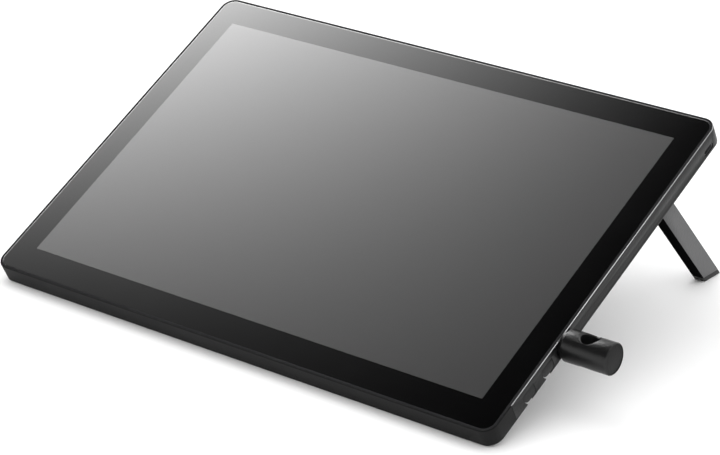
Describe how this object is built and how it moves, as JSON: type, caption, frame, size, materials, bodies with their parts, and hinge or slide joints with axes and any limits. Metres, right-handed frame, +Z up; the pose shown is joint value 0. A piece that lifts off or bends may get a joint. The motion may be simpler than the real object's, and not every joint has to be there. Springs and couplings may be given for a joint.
{
  "type": "pen display drawing tablet",
  "caption": "Pen display tablet leaning on two fold-out legs, with a glass front, matt lower edge, pull-off pen holder, blanking plugs and a side port.",
  "frame": {"origin": "middle of the strip under the lower edge that lies on the table", "axes": "+X to the right along the lower edge, +Y away from the user, +Z up; the screen leans back 27 degrees from the table"},
  "size_m": [0.4151, 0.2934, 0.1284],
  "materials": {
    "front_glass": "black-bordered etched glass",
    "lcd": "dark panel",
    "films": "milky film",
    "acrylic": "clear acrylic",
    "circuit_board": "white solder mask",
    "steel_sheet": "plain sheet",
    "chassis": "cast, plain",
    "side_frame": "fine satin black",
    "soft_cover": "matt black",
    "rear_cover": "fine texture",
    "rubber_foot": "matt",
    "black_screw": "black oxide",
    "chip": "moulded",
    "spreader": "plain",
    "port_steel": "satin",
    "flat_cable": "film",
    "button": "satin",
    "socket": "moulded",
    "holder": "satin black",
    "stud": "moulded",
    "holder_cap": "fine grain",
    "nib": "moulded",
    "plug": "matt",
    "leg": "satin dark grey",
    "leg_rubber": "matt",
    "hinge_steel": "plain",
    "washer": "plain"
  },
  "bodies": {
    "tablet": {"front_glass": "front_glass", "lcd_panel": "lcd", "diffuser_films": "films", "light_guide": "acrylic", "led_bar": "circuit_board", "backlight_tray": "steel_sheet", "sensor_board": "circuit_board", "shield_plate": "steel_sheet", "mid_frame": "chassis", "side_frame": "side_frame", "bottom_edge_cover": "soft_cover", "rear_cover": "rear_cover", "rear_feet": "rubber_foot", "cover_screws": "black_screw", "main_board": "circuit_board", "board_chips": "chip", "heat_spreader": "spreader", "port_board": "circuit_board", "usb_c_shell": "port_steel", "usb_c_tongue": "chip", "port_cable": "flat_cable", "display_flex": "flat_cable", "sensor_flex": "flat_cable", "power_switch": "chip", "socket_cups_right": "socket", "socket_cups_left": "socket", "bracket_screws": "black_screw", "hinge_bracket_right": "hinge_steel", "hinge_pin_right": "hinge_steel", "hinge_washers_right": "washer", "hinge_bracket_left": "hinge_steel", "hinge_pin_left": "hinge_steel", "hinge_washers_left": "washer"},
    "leg_right": {"leg_right": "leg", "leg_foot_right": "leg_rubber"},
    "leg_left": {"leg_left": "leg", "leg_foot_left": "leg_rubber"},
    "power_button": {"power_button": "button"},
    "pen_holder": {"pen_holder": "holder", "holder_stud": "stud", "nib_tray": "socket", "spare_nibs": "nib"},
    "holder_cap": {"holder_cap": "holder_cap"},
    "plug_right_1": {"plug_right_1": "plug"},
    "plug_right_2": {"plug_right_2": "plug"},
    "plug_left_1": {"plug_left_1": "plug"},
    "plug_left_2": {"plug_left_2": "plug"},
    "plug_left_3": {"plug_left_3": "plug"}
  },
  "joints": [
    {"name": "leg_right_fold", "type": "hinge", "parent": "tablet", "child": "leg_right", "pos_m": [0.15675, 0.18575, 0.09469], "axis": [0, 0.891, 0.454], "range_deg": [0, 90]},
    {"name": "leg_left_fold", "type": "hinge", "parent": "tablet", "child": "leg_left", "pos_m": [-0.15675, 0.18575, 0.09469], "axis": [0, -0.891, -0.454], "range_deg": [0, 90]},
    {"name": "power_button_press", "type": "slide", "parent": "tablet", "child": "power_button", "axis": [0, -0.891, -0.454], "range_m": [0, 0.0005], "stiffness_N_per_m": 900, "springref_m": -0.0006},
    {"name": "pen_holder_pull", "type": "slide", "parent": "tablet", "child": "pen_holder", "axis": [1, 0, 0], "range_m": [0, 0.012]},
    {"name": "holder_cap_pull", "type": "slide", "parent": "pen_holder", "child": "holder_cap", "axis": [1, 0, 0], "range_m": [0, 0.012]},
    {"name": "plug_right_1_pull", "type": "slide", "parent": "tablet", "child": "plug_right_1", "axis": [1, 0, 0], "range_m": [0, 0.01]},
    {"name": "plug_right_2_pull", "type": "slide", "parent": "tablet", "child": "plug_right_2", "axis": [1, 0, 0], "range_m": [0, 0.01]},
    {"name": "plug_left_1_pull", "type": "slide", "parent": "tablet", "child": "plug_left_1", "axis": [-1, 0, 0], "range_m": [0, 0.01]},
    {"name": "plug_left_2_pull", "type": "slide", "parent": "tablet", "child": "plug_left_2", "axis": [-1, 0, 0], "range_m": [0, 0.01]},
    {"name": "plug_left_3_pull", "type": "slide", "parent": "tablet", "child": "plug_left_3", "axis": [-1, 0, 0], "range_m": [0, 0.01]}
  ]
}
